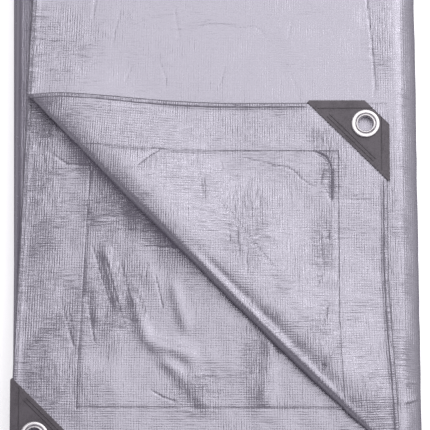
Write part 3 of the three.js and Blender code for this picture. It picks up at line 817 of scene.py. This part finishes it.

# painted shade and painted highlight: the cloth's colour is darker where the kinks dip and lighter on their crests
tint = add_node(tree, "ValToRGB", {"Fac": kinks.outputs[0]})
tint.color_ramp.elements[0].color = colour("#9b98a2")
tint.color_ramp.elements[1].color = colour("#aba8b2")
gloss = add_node(tree, "MapRange", {"Value": crumple.outputs["Fac"], 1: 0.3, 2: 0.7, 3: 0.21, 4: 0.28})
shader.inputs["Metallic"].default_value = 0.55
shader.inputs["IOR"].default_value = 1.5
for socket, source in (("Base Color", tint.outputs[0]), ("Roughness", gloss.outputs[0]), ("Normal", bump.outputs[0])):
    tree.links.new(source, shader.inputs[socket])
tarp_mesh.materials.append(cloth)
print(cloth.name, len(tree.nodes), "nodes")

# %% [markdown]
# ### Moulded polypropylene
#
# The patches are dark grey polypropylene from a spark-eroded mould: a fine even grain, satin, with faint
# paler rubs. The grain is drawn a little coarser than the real 0.2 mm so that it can show.

# %% Patch material
plastic, tree, shader = new_material("satin moulded polypropylene")
place = add_node(tree, "TexCoord").outputs["Object"]
grain = add_node(tree, "TexNoise", {"Vector": place, "Scale": 1 / (0.7 * MM), "Detail": 2.0})
rubs = add_node(tree, "TexNoise", {"Vector": place, "Scale": 1 / (9 * MM), "Detail": 4.0, "Roughness": 0.65})
grain_height = add_node(tree, "Math", {0: grain.outputs["Fac"], 1: 0.03 * MM}, operation="MULTIPLY")
bump = add_node(tree, "Bump", {"Height": grain_height.outputs[0], "Strength": 1.0, "Distance": 1.0})
mottle = add_node(tree, "Math", {0: grain.outputs["Fac"], 1: 0.8, 2: rubs.outputs["Fac"]}, operation="MULTIPLY_ADD")
tint = add_node(tree, "ValToRGB", {"Fac": mottle.outputs[0]})
tint.color_ramp.elements[0].position, tint.color_ramp.elements[0].color = 0.68, colour("#443d44")
tint.color_ramp.elements[1].position, tint.color_ramp.elements[1].color = 1.0, colour("#605a60")
satin = add_node(tree, "MapRange", {"Value": rubs.outputs["Fac"], 1: 0.3, 2: 0.7, 3: 0.42, 4: 0.56})
shader.inputs["IOR"].default_value = 1.49
for socket, source in (("Base Color", tint.outputs[0]), ("Roughness", satin.outputs[0]), ("Normal", bump.outputs[0])):
    tree.links.new(source, shader.inputs[socket])
for patch in patches.values():
    patch.data.materials.append(plastic)
print(plastic.name, len(tree.nodes), "nodes")

# %% [markdown]
# ### Bright plated metal
#
# Eyelets are stamped and tumbled before they are plated, which leaves a bright white metal with a soft haze,
# duller in some places than in others. A noise drives both its tint and its roughness.

# %% Eyelet material
plated, tree, shader = new_material("bright plated stamped metal")
place = add_node(tree, "TexCoord").outputs["Object"]
haze = add_node(tree, "TexNoise", {"Vector": place, "Scale": 1 / (2.5 * MM), "Detail": 4.0, "Roughness": 0.6})
dull = add_node(tree, "MapRange", {"Value": haze.outputs["Fac"], 1: 0.3, 2: 0.7, 3: 0.26, 4: 0.38})
tint = add_node(tree, "ValToRGB", {"Fac": haze.outputs["Fac"]})
tint.color_ramp.elements[0].position, tint.color_ramp.elements[0].color = 0.3, colour("#c2bfc0")
tint.color_ramp.elements[1].position, tint.color_ramp.elements[1].color = 0.7, colour("#d6d3d4")
shader.inputs["Metallic"].default_value = 1.0
for socket, source in (("Base Color", tint.outputs[0]), ("Roughness", dull.outputs[0])):
    tree.links.new(source, shader.inputs[socket])
for ring in eyelets.values():
    ring.data.materials.append(plated)
print(plated.name, len(tree.nodes), "nodes")

# %% [markdown]
# ## Joining the pieces to the frame
#
# Each piece rides on the only body and stands for its solid, which is hidden. The tarp is one sheet, and its
# flat size, the size that it was cut to, is printed.

# %% Pieces attached and their solids hidden
for piece, node, slot in (
    (tarp, "tarp_sheet", "tarp_cloth"),
    (patches["turned"], "corner_patch_turned", "patch_plastic"),
    (patches["lower"], "corner_patch_lower", "patch_plastic"),
    (eyelets["turned"], "eyelet_turned", "eyelet_metal"),
    (eyelets["lower"], "eyelet_lower", "eyelet_metal"),
):
    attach(piece, "root")
    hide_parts(node)
print("flat size", round(SHEET_LENGTH * MM, 3), "by", round(SHEET_WIDTH * MM, 3), "m")

# %% [markdown]
# ## Stage
#
# Coated cloth shows its shape by what it mirrors. A large soft light hangs high on the far right: flat cloth
# mirrors it and is bright, and cloth that tilts away mirrors the dim room above and goes grey. A small lamp
# adds glints, and a weak panel on the right makes the round side fade slowly. The walls are pale near the
# ground so that the sides don't go black in low views. The floor is white and glows a little, like a light
# table, and isn't mirrored.

# %% Floor
floor_mesh = bmesh.new()
bmesh.ops.create_grid(floor_mesh, x_segments=2, y_segments=2, size=4)
floor = made_object("floor", floor_mesh)
paper, tree, shader = new_material("matt white card")
fibre = add_node(tree, "TexNoise", {"Vector": add_node(tree, "TexCoord").outputs["Object"], "Scale": 1 / (4 * MM)})
tint = add_node(tree, "ValToRGB", {"Fac": fibre.outputs["Fac"]})
tint.color_ramp.elements[0].color, tint.color_ramp.elements[1].color = colour("#f4f4f4"), colour("#fafafa")
tree.links.new(tint.outputs[0], shader.inputs["Base Color"])
shader.inputs["Roughness"].default_value = 0.9
shader.inputs["Emission Color"].default_value = colour("#ffffff")
shader.inputs["Emission Strength"].default_value = 0.55
floor.data.materials.append(paper)
floor.visible_glossy = False

# %% Lights
def aimed(place, direction):
    return Matrix.Translation(place) @ direction.to_track_quat("-Z", "Y").to_matrix().to_4x4()


def soft_light(name, place, size, power):
    """A square lamp at a place in metres that points at the middle of the bundle."""
    lamp = bpy.data.lights.new(name, "AREA")
    lamp.shape, lamp.size, lamp.energy = "SQUARE", size, power
    holder = bpy.data.objects.new(name, lamp)
    holder.matrix_world = aimed(place, -Vector(place))
    bpy.context.scene.collection.objects.link(holder)
    return holder


soft_light("softbox", (0.46, 0.46, 1.36), 1.9, 20.9)
soft_light("glint", (0.62, 0.62, 1.2), 0.3, 1.0)
soft_light("fill", (1.5, 0.3, 0.85), 1.2, 2.4)

# %% Room: dim below, pale along the horizon, dim overhead
room = bpy.data.worlds.new("studio")
room.use_nodes = True
tree, background = room.node_tree, room.node_tree.nodes["Background"]
upward = add_node(tree, "SeparateXYZ", {0: add_node(tree, "TexCoord").outputs["Generated"]}).outputs["Z"]
half_up = add_node(tree, "MapRange", {"Value": upward, 1: -1.0, 2: 1.0})  # 0 straight down, 1 straight up
walls = add_node(tree, "ValToRGB", {"Fac": half_up.outputs[0]})
walls.color_ramp.elements[0].position, walls.color_ramp.elements[0].color = 0.15, colour("#9a94a2")
walls.color_ramp.elements[1].position, walls.color_ramp.elements[1].color = 0.75, colour("#9a92a2")
for place in (0.42, 0.65):
    walls.color_ramp.elements.new(place).color = colour("#f0eef3")
tree.links.new(walls.outputs[0], background.inputs["Color"])
background.inputs["Strength"].default_value = 0.6
bpy.context.scene.world = room
bpy.context.scene.view_settings.view_transform = "Standard"
print("room has", len(walls.color_ramp.elements), "bands")

# %% Camera: 12 degrees off straight down, a long way back
AIM = Vector((0, -6.3, 28)) * MM
ELEVATION, DISTANCE, SEEN_WIDTH = math.radians(78), 3.0, 331 * MM
back = Vector((0, -math.cos(ELEVATION), math.sin(ELEVATION)))
lens = bpy.data.cameras.new("camera")
lens.sensor_width = 36
lens.lens = lens.sensor_width * DISTANCE / SEEN_WIDTH
camera = bpy.data.objects.new("camera", lens)
camera.matrix_world = aimed(AIM + back * DISTANCE, -back)
bpy.context.scene.collection.objects.link(camera)
bpy.context.scene.camera = camera
print("lens", round(lens.lens), "mm")
